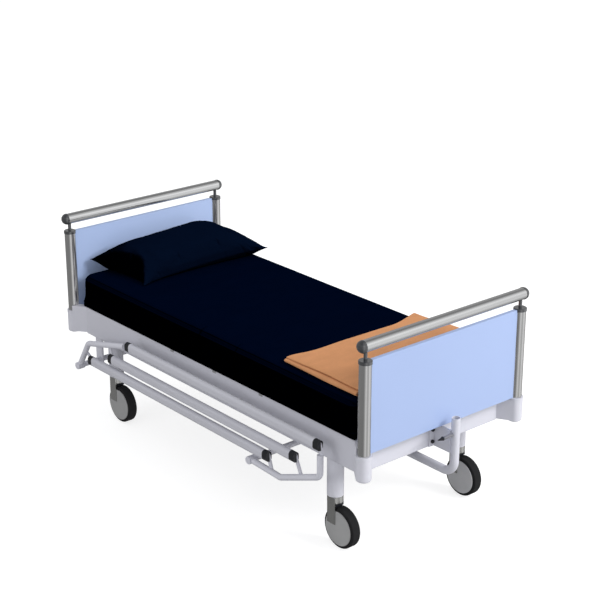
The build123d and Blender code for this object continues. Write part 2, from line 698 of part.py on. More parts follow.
def holder_tube():
    """The pole holder: an open tube that bends under the frame and up to the leg beam."""
    x = HOLDER_X
    route = [
        (x, HOLDER_Y, HOLDER_TOP),
        (x, HOLDER_Y, HOLDER_LOW),
        (x, LEG_Y["foot"], HOLDER_LOW),
        (x, LEG_Y["foot"], FRAME_Z0),
    ]
    tube = bent_tube(route, HOLDER_BEND, HOLDER_R, HOLDER_BORE)
    boss = rod_x(BOSS_END, x - HOLDER_BORE, HOLDER_Y, KNOB_Z, BOSS_R)
    boss -= rod_z(KNOB_Z - 20, KNOB_Z + 20, x, HOLDER_Y, HOLDER_R - 1)
    return tube + boss - rod_x(BOSS_END - 1, x, HOLDER_Y, KNOB_Z, STUD_R + RUN)


def holder_bracket():
    """The plate on the foot crossbar and the web that reaches the tube."""
    plate = block(*PLATE_X, FOOT_FACE - PLATE_THICK, FOOT_FACE, BRACKET_Z0, BRACKET_Z1)
    web = block(PLATE_X[1], WEB_X1, HOLDER_Y + HOLDER_R / 2, FOOT_FACE, BRACKET_Z0, BRACKET_Z1)
    web -= rod_z(BRACKET_Z0, BRACKET_Z1, HOLDER_X, HOLDER_Y, HOLDER_R)
    web -= rod_x(PLATE_X[0], 0, HOLDER_Y, KNOB_Z, BOSS_R)
    bracket = plate + web
    for z in BOLT_HEIGHTS:
        bracket -= rod_y(FOOT_FACE - PLATE_THICK, FOOT_FACE, BOLT_X, z, BOLT_R)
    return bracket


def holder_bolts():
    """Two cap bolts through the plate into the crossbar."""
    bolts = []
    for z in BOLT_HEIGHTS:
        seat = FOOT_FACE - PLATE_THICK
        head = rod_y(seat - 2 * BOLT_R, seat, BOLT_X, z, 2 * BOLT_R)
        head = fillet(head.edges().sort_by(Axis.Y)[0], 2.5)
        bolts.append(head + rod_y(seat - 1, seat + 18, BOLT_X, z, BOLT_R))
    return bolts


KNOB_X0 = -66.0         # the knob's two ends
KNOB_X1 = -60.0
KNOB_R = 7.0
LOBE_R = 2.5
GRIP_LEN = 22.0


def clamp_knob():
    """A small lobed knob with a tapered grip, on a stud that pinches the pole."""
    hub = rod_x(KNOB_X0, KNOB_X1, HOLDER_Y, KNOB_Z, KNOB_R)
    for i in range(5):
        turn = radians(72 * i)
        lobe_y, lobe_z = HOLDER_Y + KNOB_R * cos(turn), KNOB_Z + KNOB_R * sin(turn)
        hub += rod_x(KNOB_X0, KNOB_X1, lobe_y, lobe_z, LOBE_R)
    grip = Pos(KNOB_X0 - GRIP_LEN / 2, HOLDER_Y, KNOB_Z) * Rot(0, -90, 0)
    grip *= Cone(KNOB_R, LOBE_R, GRIP_LEN)
    stud = rod_x(KNOB_X1 - 1, HOLDER_X - HOLDER_BORE - 0.1, HOLDER_Y, KNOB_Z, STUD_R)
    return hub + grip + stud


def drilled_crossbar():
    """The foot crossbar with the bracket's bolt holes."""
    bar = crossbar(-1)
    for z in BOLT_HEIGHTS:
        bar -= rod_y(FOOT_FACE, FOOT_FACE + 20, BOLT_X, z, BOLT_R)
    return bar


# Nodes

for name, side in SIDES.items():
    save(f"side_member_{name}", side_member(side))
save("crossbar_head", crossbar(1))
save("crossbar_foot", drilled_crossbar())
save("corner_sockets", *[corner_socket(s, e) for s in SIDES.values() for e in ENDS.values()])
save("leg_beams", *leg_beams())
save("middle_beams", *middle_beams())
save("seat_supports", *seat_supports())
save("legs", *[leg(s * LEG_X, y) for s in SIDES.values() for y in LEG_Y.values()])
save("deck_rest_pads", *deck_rest_pads())
back, front = GUARD_HEAD_Y - HANGER_REACH, GUARD_FOOT_Y + HANGER_REACH
head_tube = guard_cross_tube(GUARD_HEAD_Y, HEAD_HANGER_X, back, CROSS_Y0, HEAD_HANGER_TOP)
foot_tube = guard_cross_tube(
    GUARD_FOOT_Y, FOOT_HANGER_X, GUARD_FOOT_Y - HANGER_REACH, front, MID_BEAM_Z0)
save("guard_tube_head", *head_tube)
save("guard_tube_foot", *foot_tube)

save("deck_seat", seat_deck())
save("deck_back", back_deck())
save("deck_thigh", thigh_deck())
save("deck_calf", calf_deck())
for name, piece in mattress_slices().items():
    save(name, piece)
save("pillow", pillow())
save("blanket", blanket())

back_pin = BACK_HINGE_Y - BACK_ROD_DROP * tan(radians(BACK_TURN / 2))
leg_pin = THIGH_HINGE_Y + LEG_ROD_DROP * tan(radians(THIGH_TURN / 2))
back_rod_z = HINGE_Z - BACK_ROD_DROP
leg_rod_z = HINGE_Z - LEG_ROD_DROP
save("back_push_rod", fork_rod(BACK_ROD_X, back_pin, back_rod_z, -1, 190))
save("leg_push_rod", fork_rod(LEG_ROD_X, leg_pin, leg_rod_z, 1, 150))
save("back_actuator", actuator_housing(BACK_ROD_X, back_rod_z, 122, -1, 400, GUARD_FOOT_Y + MID_BEAM_HALF))
save("leg_actuator", actuator_housing(LEG_ROD_X, leg_rod_z, 16, 1, 320, HEAD_BEAM_Y - MID_BEAM_HALF))

for name, end in ENDS.items():
    for piece, solids in board(end).items():
        save(f"{name}board_{piece}", *solids)

for name, side in SIDES.items():
    foot_arm, head_arm = guard_arms(side)
    save(f"guard_{name}_foot_arm", foot_arm)
    save(f"guard_{name}_head_arm", head_arm)
    for pin in BAR_PINS:
        save(f"guard_{name}_{pin}_bar", *guard_bar(side, pin))

for end_name, y in LEG_Y.items():
    for side_name, side in SIDES.items():
        x, axle_y = side * LEG_X, y - WHEEL_TRAIL
        caster = f"caster_{end_name}_{side_name}"
        save(f"{caster}_fork", caster_fork(x, y, axle_y))
        save(f"{caster}_covers", *caster_guards(x, y, axle_y))
        save(f"{caster}_wheel", *caster_wheel(x, axle_y))

save("pole_holder_tube", holder_tube())
save("pole_holder_bracket", holder_bracket())
save("pole_holder_bolts", *holder_bolts())
save("clamp_knob", clamp_knob())
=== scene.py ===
import json
import math

import bpy
import numpy as np
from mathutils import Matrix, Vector, noise

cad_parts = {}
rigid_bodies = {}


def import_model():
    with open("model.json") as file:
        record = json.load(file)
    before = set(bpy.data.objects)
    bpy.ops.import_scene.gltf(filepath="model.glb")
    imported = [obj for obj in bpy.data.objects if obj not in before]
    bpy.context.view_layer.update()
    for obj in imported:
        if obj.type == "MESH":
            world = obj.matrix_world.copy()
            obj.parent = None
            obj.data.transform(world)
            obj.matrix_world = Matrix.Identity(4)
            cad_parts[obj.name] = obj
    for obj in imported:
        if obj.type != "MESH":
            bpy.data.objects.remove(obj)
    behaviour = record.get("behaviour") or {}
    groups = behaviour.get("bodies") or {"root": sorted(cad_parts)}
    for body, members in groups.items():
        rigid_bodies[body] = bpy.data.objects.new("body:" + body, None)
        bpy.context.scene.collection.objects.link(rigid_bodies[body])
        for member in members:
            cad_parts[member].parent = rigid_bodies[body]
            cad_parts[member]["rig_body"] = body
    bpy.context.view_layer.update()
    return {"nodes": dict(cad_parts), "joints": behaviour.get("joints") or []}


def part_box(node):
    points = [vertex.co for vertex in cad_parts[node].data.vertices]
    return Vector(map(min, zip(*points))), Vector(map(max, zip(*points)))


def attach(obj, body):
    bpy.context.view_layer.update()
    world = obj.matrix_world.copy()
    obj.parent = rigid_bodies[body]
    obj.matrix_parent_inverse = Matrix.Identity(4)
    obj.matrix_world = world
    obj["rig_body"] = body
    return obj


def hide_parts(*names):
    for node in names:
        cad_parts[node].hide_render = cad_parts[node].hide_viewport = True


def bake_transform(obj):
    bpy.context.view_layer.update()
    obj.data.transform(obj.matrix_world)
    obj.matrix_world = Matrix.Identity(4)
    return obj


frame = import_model()
nodes = frame["nodes"]
scene = bpy.context.scene
scene.view_settings.view_transform = "Standard"

# ---------------------------------------------------------------- places, from the frame

FOOT_REACH = 0.018      # how far the mattress goes past its plain solid, towards the foot
calf_low, calf_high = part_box("mattress_calf")
_, back_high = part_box("mattress_back")
BED_LOW = Vector((calf_low.x, calf_low.y - FOOT_REACH, calf_low.z))
BED_HIGH = Vector((calf_high.x, back_high.y, calf_high.z))
HINGES = {j["name"]: j["pos_m"] for j in frame["joints"] if j["type"] == "hinge"}
THIGH_Y = HINGES["thigh_raise"][1]
CROWN = 0.003           # rise of the mattress's middle over its edges
EDGE = 0.045            # rounding of the mattress's upper edges
RIM = 0.008             # outermost strip of the top, where its height stays the same


def bed_top(x):
    """Height of the mattress's top, which is a little crowned and falls away at its edges."""
    half = BED_HIGH.x
    past = min(abs(x), half - RIM) - (half - EDGE)
    fall = EDGE - math.sqrt(EDGE ** 2 - past ** 2) if past > 0 else 0.0
    return BED_HIGH.z + CROWN * (1.0 - (x / half) ** 2) - fall


# ---------------------------------------------------------------- camera, light, stage

CAMERA_PLACE = (-4.207, -5.093, 3.284)
CAMERA_AZIMUTH = math.radians(-40.27)
CAMERA_ELEVATION = math.radians(20.67)
CAMERA_LENS = 91.27     # millimetres, on a 36 mm sensor


def make_camera():
    camera = bpy.data.objects.new("camera", bpy.data.cameras.new("camera"))
    camera.data.sensor_width = 36.0
    camera.data.lens = CAMERA_LENS
    camera.data.clip_end = 100.0
    camera.location = CAMERA_PLACE
    camera.rotation_euler = (math.pi / 2 - CAMERA_ELEVATION, 0.0, CAMERA_AZIMUTH)
    scene.collection.objects.link(camera)
    scene.camera = camera


def area_light(name, place, target, size, power):
    """A soft white light that isn't seen in reflections."""
    light = bpy.data.lights.new(name, "AREA")
    light.shape = "RECTANGLE"
    light.size, light.size_y = size
    light.energy = power
    obj = bpy.data.objects.new(name, light)
    obj.location = place
    obj.rotation_euler = (Vector(target) - Vector(place)).to_track_quat("-Z", "Y").to_euler()
    obj.visible_glossy = False
    scene.collection.objects.link(obj)


def make_lights():
    area_light("key", (3.2, -6.5, 5.2), (0, -0.2, 0.6), (3.0, 3.0), 420)
    area_light("top", (0.5, 1.0, 6.0), (0, 0, 0.5), (4.0, 4.0), 30)
    area_light("fill", (-7.0, 0.5, 2.2), (0, 0, 0.5), (4.0, 3.0), 85)
    area_light("low", (1.0, -7.5, 0.7), (0, 0, 0.3), (5.0, 1.2), 55)


# What polished metal sees round it: brightness by bearing from the camera's own
# (-180 behind the bed, -90 left of the camera, 0 at it, 90 right of it), and by height.
BY_BEARING = ((-180, 0.36), (-150, 0.29), (-20, 0.28), (0, 0.55), (17, 0.95), (35, 0.70),
              (55, 0.56), (74, 1.00), (101, 0.86), (134, 0.36), (180, 0.36))
BY_HEIGHT = ((-1.0, 0.50), (-0.6, 0.70), (-0.35, 1.00), (-0.1, 1.00), (0.0, 0.90), (0.2, 1.05),
             (0.45, 1.25), (0.75, 0.75), (1.0, 0.65))
SOFT_LIGHT = 0.60       # strength of the even light on everything
FLOOR_HALF = 30.0
FLOOR_Z = -0.0005       # just under the wheels
FLOOR_GREY = 0.45       # what the floor gives back of the light
FLOOR_GLOW = 0.78       # added for the camera alone, so that the floor looks white


def ramp(tree, source, low, high, stops):
    """Brightness by a value, through a colour ramp."""
    span = tree.nodes.new("ShaderNodeMapRange")
    span.inputs["From Min"].default_value, span.inputs["From Max"].default_value = low, high
    tree.links.new(source, span.inputs["Value"])
    node = tree.nodes.new("ShaderNodeValToRGB")
    node.color_ramp.interpolation = "EASE"
    while len(node.color_ramp.elements) < len(stops):
        node.color_ramp.elements.new(0.5)
    for element, (at, grey) in zip(node.color_ramp.elements, stops):
        element.position = (at - low) / (high - low)
        element.color = (grey, grey, grey, 1)
    tree.links.new(span.outputs["Result"], node.inputs["Fac"])
    return node.outputs["Color"]


def studio_reflections(tree):
    """Soft boxes and dark cards round the bed, for reflections alone."""
    coords = tree.nodes.new("ShaderNodeTexCoord")
    turn = tree.nodes.new("ShaderNodeVectorRotate")
    turn.rotation_type = "Z_AXIS"
    turn.inputs["Angle"].default_value = -CAMERA_AZIMUTH
    split = tree.nodes.new("ShaderNodeSeparateXYZ")
    bearing = tree.nodes.new("ShaderNodeMath")
    bearing.operation = "ARCTAN2"
    flip = tree.nodes.new("ShaderNodeMath")
    flip.operation = "MULTIPLY"
    flip.inputs[1].default_value = -1.0
    tree.links.new(coords.outputs["Generated"], turn.inputs["Vector"])
    tree.links.new(turn.outputs["Vector"], split.inputs[0])
    tree.links.new(split.outputs["Y"], flip.inputs[0])
    tree.links.new(split.outputs["X"], bearing.inputs[0])
    tree.links.new(flip.outputs[0], bearing.inputs[1])
    stops = [(math.radians(a), g) for a, g in BY_BEARING]
    around = ramp(tree, bearing.outputs[0], -math.pi, math.pi, stops)
    up = ramp(tree, split.outputs["Z"], -1.0, 1.0, BY_HEIGHT)
    both = tree.nodes.new("ShaderNodeVectorMath")
    both.operation = "MULTIPLY"
    tree.links.new(around, both.inputs[0])
    tree.links.new(up, both.inputs[1])
    glow = tree.nodes.new("ShaderNodeBackground")
    tree.links.new(both.outputs[0], glow.inputs["Color"])
    return glow


def make_world():
    """White to the eye, a soft even light, and a lit studio in reflections."""
    world = bpy.data.worlds.new("studio")
    world.use_nodes = True
    tree = world.node_tree
    tree.nodes.clear()
    out = tree.nodes.new("ShaderNodeOutputWorld")
    rays = tree.nodes.new("ShaderNodeLightPath")
    soft = tree.nodes.new("ShaderNodeBackground")
    soft.inputs["Color"].default_value = (0.97, 0.98, 1.0, 1)
    soft.inputs["Strength"].default_value = SOFT_LIGHT
    white = tree.nodes.new("ShaderNodeBackground")
    white.inputs["Color"].default_value = (1, 1, 1, 1)
    glossy = tree.nodes.new("ShaderNodeMixShader")
    seen = tree.nodes.new("ShaderNodeMixShader")
    tree.links.new(rays.outputs["Is Glossy Ray"], glossy.inputs[0])
    tree.links.new(soft.outputs[0], glossy.inputs[1])
    tree.links.new(studio_reflections(tree).outputs[0], glossy.inputs[2])
    tree.links.new(rays.outputs["Is Camera Ray"], seen.inputs[0])
    tree.links.new(glossy.outputs[0], seen.inputs[1])
    tree.links.new(white.outputs[0], seen.inputs[2])
    tree.links.new(seen.outputs[0], out.inputs[0])
    scene.world = world


def make_floor():
    """A white floor that shows only a trace of shadow."""
    mesh = bpy.data.meshes.new("floor")
    corners = [(-1, -1), (1, -1), (1, 1), (-1, 1)]
    points = [(x * FLOOR_HALF, y * FLOOR_HALF, FLOOR_Z) for x, y in corners]
    mesh.from_pydata(points, [], [(0, 1, 2, 3)])
    floor = bpy.data.objects.new("floor", mesh)
    scene.collection.objects.link(floor)
    floor.visible_glossy = False
    mat = bpy.data.materials.new("floor_white")
    mat.use_nodes = True
    tree = mat.node_tree
    tree.nodes.clear()
    out = tree.nodes.new("ShaderNodeOutputMaterial")
    add = tree.nodes.new("ShaderNodeAddShader")
    diffuse = tree.nodes.new("ShaderNodeBsdfDiffuse")
    diffuse.inputs["Color"].default_value = (FLOOR_GREY, FLOOR_GREY, FLOOR_GREY, 1)
    rays = tree.nodes.new("ShaderNodeLightPath")
    glow = tree.nodes.new("ShaderNodeEmission")
    lift = tree.nodes.new("ShaderNodeMath")
    lift.operation = "MULTIPLY"
    lift.inputs[1].default_value = FLOOR_GLOW
    tree.links.new(rays.outputs["Is Camera Ray"], lift.inputs[0])
    tree.links.new(lift.outputs[0], glow.inputs["Strength"])
    tree.links.new(diffuse.outputs[0], add.inputs[0])
    tree.links.new(glow.outputs[0], add.inputs[1])
    tree.links.new(add.outputs[0], out.inputs[0])
    mesh.materials.append(mat)


# ---------------------------------------------------------------- materials

class Nodes:
    """A short way to write a node tree."""

    def __init__(self, name):
        self.mat = bpy.data.materials.new(name)
        self.mat.use_nodes = True
        self.tree = self.mat.node_tree
        self.shader = self.tree.nodes["Principled BSDF"]
        self.coords = self.tree.nodes.new("ShaderNodeTexCoord").outputs["Object"]

    def add(self, kind, **values):
        node = self.tree.nodes.new("ShaderNode" + kind)
        for key, value in values.items():
            if key in node.inputs:
                node.inputs[key].default_value = value
            else:
                setattr(node, key, value)
        return node

    def link(self, a, b):
        self.tree.links.new(a, b)

    def set(self, **values):
        for key, value in values.items():
            self.shader.inputs[key.replace("_", " ")].default_value = value

    def place(self, scale):
        mapping = self.add("Mapping")
        mapping.inputs["Scale"].default_value = scale
        self.link(self.coords, mapping.inputs["Vector"])
        return mapping.outputs["Vector"]

    def noise(self, scale, detail=3.0, stretch=(1, 1, 1)):
        node = self.add("TexNoise", Scale=scale, Detail=detail)
        self.link(self.place(stretch), node.inputs["Vector"])
        return node.outputs["Fac"]

    def band(self, direction, scale):
        node = self.add("TexWave", bands_direction=direction, Scale=scale, Distortion=0.4)
        node.inputs["Detail Scale"].default_value = 3.0
        self.link(self.coords, node.inputs["Vector"])
        return node.outputs["Fac"]

    def spread(self, value, low, high):
        node = self.add("MapRange")
        node.inputs["To Min"].default_value = low
        node.inputs["To Max"].default_value = high
        self.link(value, node.inputs["Value"])
        return node.outputs["Result"]

    def math(self, operation, a, b):
        node = self.add("Math", operation=operation)
        self.link(a, node.inputs[0])
        if isinstance(b, float):
            node.inputs[1].default_value = b
        else:
            self.link(b, node.inputs[1])
        return node.outputs[0]

    def colour(self, factor, low, high):
        mix = self.add("Mix", data_type="RGBA")
        self.link(factor, mix.inputs[0])
        mix.inputs[6].default_value = (*low, 1)
        mix.inputs[7].default_value = (*high, 1)
        return mix.outputs[2]

    def bump(self, height, strength, distance, onto=None):
        node = self.add("Bump", Strength=strength, Distance=distance)
        self.link(height, node.inputs["Height"])
        if onto is not None:
            self.link(onto, node.inputs["Normal"])
        return node.outputs["Normal"]

    def wire(self, **sockets):
        for key, socket in sockets.items():
            self.link(socket, self.shader.inputs[key.replace("_", " ")])
        return self.mat


def shade(colour, factor):
    """A colour made lighter or darker."""
    return tuple(min(1.0, c * factor) for c in colour)


def painted(name, base, rough=0.38):
    """Powder coat: faint orange peel and a slight drift of tone."""
    n = Nodes(name)
    n.set(Coat_Weight=0.12, Coat_Roughness=0.25)
    drift = n.noise(4.0, 2.0)
    peel = n.noise(900.0, 1.0)
    return n.wire(
        Base_Color=n.colour(drift, shade(base, 0.96), shade(base, 1.03)),
        Roughness=n.spread(n.noise(30.0), rough - 0.05, rough + 0.07),
        Normal=n.bump(peel, 0.12, 0.0004),
    )


def metal(name, base, rough, stretch):
    """Drawn or brushed metal with its grain along the bar."""
    n = Nodes(name)
    n.set(Metallic=1.0)
    lines = n.noise(500.0, 2.0, stretch)
    return n.wire(
        Base_Color=n.colour(n.noise(9.0), shade(base, 0.93), shade(base, 1.04)),
        Roughness=n.spread(lines, rough - 0.06, rough + 0.08),
        Normal=n.bump(lines, 0.06, 0.0002),
    )


def plastic(name, base, rough=0.45, grain=0.15):
    """Moulded plastic with a fine spark-eroded grain."""
    n = Nodes(name)
    speckle = n.noise(1500.0, 2.0)
    return n.wire(
        Base_Color=n.colour(n.noise(14.0), shade(base, 0.9), shade(base, 1.1)),
        Roughness=n.spread(n.noise(45.0), rough - 0.06, rough + 0.06),
        Normal=n.bump(speckle, grain, 0.0003),
    )


def glossy_plastic(name, base):
    """Hard plastic, polished."""
    n = Nodes(name)
    n.set(Coat_Weight=1.0, Coat_Roughness=0.06, Coat_IOR=1.9)
    return n.wire(
        Base_Color=n.colour(n.noise(20.0), shade(base, 0.9), shade(base, 1.1)),
        Roughness=n.spread(n.noise(60.0), 0.12, 0.2),
        Normal=n.bump(n.noise(200.0, 2.0), 0.03, 0.0002),
    )


def rubber(name):
    """Tyre rubber, dusty and slightly uneven."""
    n = Nodes(name)
    n.set(Specular_IOR_Level=0.25)
    dust = n.noise(60.0, 5.0)
    return n.wire(
        Base_Color=n.colour(dust, (0.008, 0.008, 0.009), (0.022, 0.022, 0.023)),
        Roughness=n.spread(dust, 0.62, 0.85),
        Normal=n.bump(n.noise(700.0, 3.0), 0.25, 0.0004),
    )


def painted_facing_shade(n, colour, light_direction, low, high, least):
    """Painted shade: darkens a cloth's colour where its surface turns away from a given direction of
    light.
    """
    facing = n.add("VectorMath", operation="DOT_PRODUCT")
    n.link(n.tree.nodes["Texture Coordinate"].outputs["Normal"], facing.inputs[0])
    facing.inputs[1].default_value = Vector(light_direction).normalized()
    share = n.add("MapRange", interpolation_type="SMOOTHSTEP")
    for socket, value in (("From Min", low), ("From Max", high), ("To Min", least), ("To Max", 1.0)):
        share.inputs[socket].default_value = value
    n.link(facing.outputs["Value"], share.inputs["Value"])
    product = n.add("VectorMath", operation="MULTIPLY")
    n.link(colour, product.inputs[0])
    n.link(share.outputs["Result"], product.inputs[1])
    return product.outputs[0]


def woven(name, base, pitch, rough, sheen, shine, depth, turn=None):
    """Cloth with a plain weave, broad soft creases and a little sheen; given turn, its colour
    carries painted shade by the way it faces.
    """
    n = Nodes(name)
    n.set(Sheen_Weight=sheen, Sheen_Roughness=0.45, Specular_IOR_Level=shine)
    n.shader.inputs["Sheen Tint"].default_value = (*shade(base, 1.6), 1)
    scale = 1.0 / (pitch * 2 * math.pi) * 0.5
    weave = n.math("MULTIPLY", n.band("X", scale * 2), n.band("Y", scale * 2))
    weave = n.math("ADD", weave, n.band("Z", scale * 2))
    slub = n.noise(260.0, 4.0)
    crease = n.noise(9.0, 3.0, (1.0, 1.6, 1.0))
    normal = n.bump(weave, 0.35, pitch * 0.4)
    normal = n.bump(slub, 0.2, pitch * 0.5, normal)
    normal = n.bump(crease, 0.35, depth, normal)
    tone = n.math("ADD", n.math("MULTIPLY", slub, 0.5), n.math("MULTIPLY", crease, 0.5))
    colour = n.colour(tone, shade(base, 0.72), shade(base, 1.3))
    return n.wire(
        # painted shade: with turn given, the colour is darkened where the cloth faces away from the
        # light
        Base_Color=colour if turn is None else painted_facing_shade(n, colour, *turn),
        Roughness=n.spread(slub, rough - 0.08, rough + 0.06),
        Normal=normal,
    )


def laminate(name, base):
    """Smooth board laminate."""
    n = Nodes(name)
    n.set(Coat_Weight=0.2, Coat_Roughness=0.12)
    return n.wire(
        Base_Color=n.colour(n.noise(2.5, 2.0), shade(base, 0.97), shade(base, 1.03)),
        Roughness=n.spread(n.noise(120.0), 0.3, 0.4),
        Normal=n.bump(n.noise(500.0, 2.0), 0.06, 0.0003),
    )


ALONG_X, ALONG_Y, ALONG_Z = (0.02, 1, 1), (1, 0.02, 1), (1, 1, 0.02)
NAVY = (0.0002, 0.0020, 0.0100)
SLIP = (0.0012, 0.0040, 0.0136)
WOOL = (0.62, 0.29, 0.135)
# painted shade: the mattress's sides and underside are darkened to near black against its navy top
BED_PAINTED_SHADE = ((0, 0, 1), 0.25, 0.95, 0.03)                 # lean, low, high and least of nap()
# painted shade: the pillow is darkened where it faces away from the light at front right, so its
# left end goes black
SLIP_PAINTED_SHADE = ((0.55, -0.55, 0.63), 0.05, 0.70, 0.03)
LOOKS = {
    "frame": painted("frame_paint", (0.72, 0.72, 0.79)),
    "deck": painted("deck_paint", (0.60, 0.60, 0.64)),
    # painted shade: the pole holder's boss is darkened so that its lit side doesn't stand out
    "boss": painted("boss_paint", (0.20, 0.20, 0.22)),
    # painted shade: side members and guard bars take darker copies of the frame paint
    "side": painted("side_paint", (0.65, 0.65, 0.715)),
    "bar": painted("bar_paint", (0.63, 0.63, 0.69), 0.34),
    "post": metal("post_aluminium", (0.60, 0.60, 0.60), 0.13, ALONG_Z),
    "rail": metal("rail_aluminium", (0.62, 0.625, 0.63), 0.15, ALONG_X),
    "end_cap": glossy_plastic("end_cap_plastic", (0.030, 0.033, 0.038)),
    "dark": plastic("dark_plastic", (0.012, 0.013, 0.017)),
    "pad": plastic("pad_nylon", (0.30, 0.30, 0.31)),
    "black": plastic("black_steel", (0.010, 0.010, 0.012), 0.35),
    "cover": plastic("cover_plastic", (0.40, 0.40, 0.40), 0.7, 0.08),
    # painted light: a lighter copy of the cover plastic, for the right casters' faces that lie in
    # the bed's shade
    "inner_cover": plastic("inner_cover_plastic", (0.58, 0.58, 0.59), 0.7, 0.08),
    "case": plastic("case_plastic", (0.10, 0.10, 0.11), 0.5),
    "tyre": rubber("tyre_rubber"),
    "hub": plastic("hub_plastic", (0.12, 0.12, 0.125), 0.5),
    "steel": metal("fork_steel", (0.50, 0.50, 0.49), 0.22, ALONG_Z),
    "bright": metal("bright_steel", (0.6, 0.6, 0.62), 0.22, ALONG_Y),
    # painted light and shade: one laminate in two tones, the foot panel darker and the head panel
    # lighter, to even out the light on them
    "foot_panel": laminate("foot_laminate", (0.405, 0.515, 0.80)),
    "head_panel": laminate("head_laminate", (0.50, 0.635, 0.96)),
    "navy": woven("navy_cotton", NAVY, 0.0009, 0.95, 0.0, 0.0, 0.004, BED_PAINTED_SHADE),
    "slip": woven("navy_slip", SLIP, 0.0009, 0.95, 0.0, 0.0, 0.004, SLIP_PAINTED_SHADE),
    "wool": woven("tan_wool", WOOL, 0.0016, 0.95, 0.10, 0.15, 0.003),
}


# ---------------------------------------------------------------- looks of the CAD nodes

CAP_LENGTH = 0.0305     # a bar's dark end, with a little to spare
AXLE_END = 0.0075       # a polygon nearer to a wheel's axis than this is on its axle's end
TREAD_SHARE = 0.81      # beyond this share of a wheel's radius it is tyre, not hub
BOSS_X = -0.005         # the pole holder's boss starts further to the left than this
KNOB_LENGTH = 0.0285    # grip and hub of the clamp knob; the rest is its stud


def polygon_points(mesh):
    """Each polygon's corner points, as arrays."""
    co = np.zeros(len(mesh.vertices) * 3, np.float32)
    mesh.vertices.foreach_get("co", co)
    co = co.reshape(-1, 3)
    return [co[list(p.vertices)] for p in mesh.polygons]


def paint(node, *looks, pick=None):
    """Gives a CAD node its materials; pick(points) says which one a polygon takes."""
    mesh = nodes[node].data
    mesh.materials.clear()
    for look in looks:
        mesh.materials.append(LOOKS[look])
    if pick is None:
        for p in mesh.polygons:
            p.material_index = 0
        return
    for p, points in zip(mesh.polygons, polygon_points(mesh)):
        p.material_index = pick(points)


def paint_bars():
    """Painted tube in a darker copy of the frame paint, which is painted shade, and dark slotted
    caps.
    """
    for side in ("left", "right"):
        for place in ("upper", "middle", "lower"):
            node = f"guard_{side}_{place}_bar"
            low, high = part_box(node)
            y0, y1 = low.y + CAP_LENGTH, high.y - CAP_LENGTH
            paint(node, "bar", "dark",
                  pick=lambda pts, y0=y0, y1=y1: int(pts[:, 1].max() < y0 or pts[:, 1].min() > y1))


def paint_casters():
    """Steel fork, grey thread guards with a black fender, rubber tyre on a plastic hub.

    The right casters' guards and axle ends carry painted light: a lighter grey on the side that
    faces the bed's middle, where the bed's shade falls.
    """
    for end in ("head", "foot"):
        for side in ("left", "right"):
            name = f"caster_{end}_{side}"
            low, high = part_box(name + "_wheel")
            axle = np.array([(low.y + high.y) / 2, (low.z + high.z) / 2])
            radius = (high.z - low.z) / 2

            def far(pts, axle=axle):
                return np.linalg.norm(pts[:, 1:] - axle, axis=1)

            # painted light: on the right casters, faces towards the bed's middle take the lighter
            # cover
            painted_light_x = (low.x + high.x) / 2 if side == "right" else -math.inf
            paint(name + "_fork", "steel", "cover", "inner_cover",
                  pick=lambda pts, far=far, painted_light_x=painted_light_x:
                  0 if far(pts).max() > AXLE_END else 1 + int(pts[:, 0].max() < painted_light_x))
            paint(name + "_covers", "cover", "dark", "inner_cover",
                  pick=lambda pts, r=radius, far=far, painted_light_x=painted_light_x:
                  1 if far(pts).min() > r else 2 * int(pts[:, 0].max() < painted_light_x))
            paint(name + "_wheel", "hub", "tyre",
                  pick=lambda pts, r=radius, far=far: int(far(pts).max() > TREAD_SHARE * r))


def paint_boards():
    """Aluminium posts and rails, laminate panels (painted light on the head one, painted shade on
    the foot one), dark caps.
    """
    for board in ("headboard", "footboard"):
        paint(board + "_posts", "post")
        paint(board + "_rail", "rail")
        paint(board + "_panel", board[:4] + "_panel")
        paint(board + "_caps", "end_cap")


def paint_frame():
    """Everything that isn't a board, a bar or a caster."""
    for node, body in ((n, o["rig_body"]) for n, o in nodes.items()):
        if node.endswith("_arm") or body == "frame":
            paint(node, "frame")
    for node in ("side_member_left", "side_member_right"):
        # painted shade: the side members take a darker copy of the frame paint
        paint(node, "side")
    for node in ("deck_seat", "deck_back", "deck_thigh", "deck_calf"):
        paint(node, "deck")
        nodes[node].visible_glossy = False
    for node in ("back_actuator", "leg_actuator"):
        paint(node, "case")
    for node in ("back_push_rod", "leg_push_rod"):
        paint(node, "bright")
    paint("deck_rest_pads", "pad")
    # painted shade: the boss end of the pole holder takes the darkened paint
    paint("pole_holder_tube", "frame", "boss", pick=lambda pts: int(pts[:, 0].min() < BOSS_X))
    knob_low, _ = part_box("clamp_knob")
    paint("clamp_knob", "dark", "steel",
          pick=lambda pts: int(pts[:, 0].min() > knob_low.x + KNOB_LENGTH))
    paint("pole_holder_bolts", "black")


# ---------------------------------------------------------------- mesh helpers

def add_mesh(name, points, faces, look):
    """A smooth-shaded object from points and faces."""
    mesh = bpy.data.meshes.new(name)
    mesh.from_pydata([tuple(p) for p in points], [], faces)
    mesh.update()
    for p in mesh.polygons:
        p.use_smooth = True
    mesh.materials.append(LOOKS[look])
    obj = bpy.data.objects.new(name, mesh)
    scene.collection.objects.link(obj)
    return obj


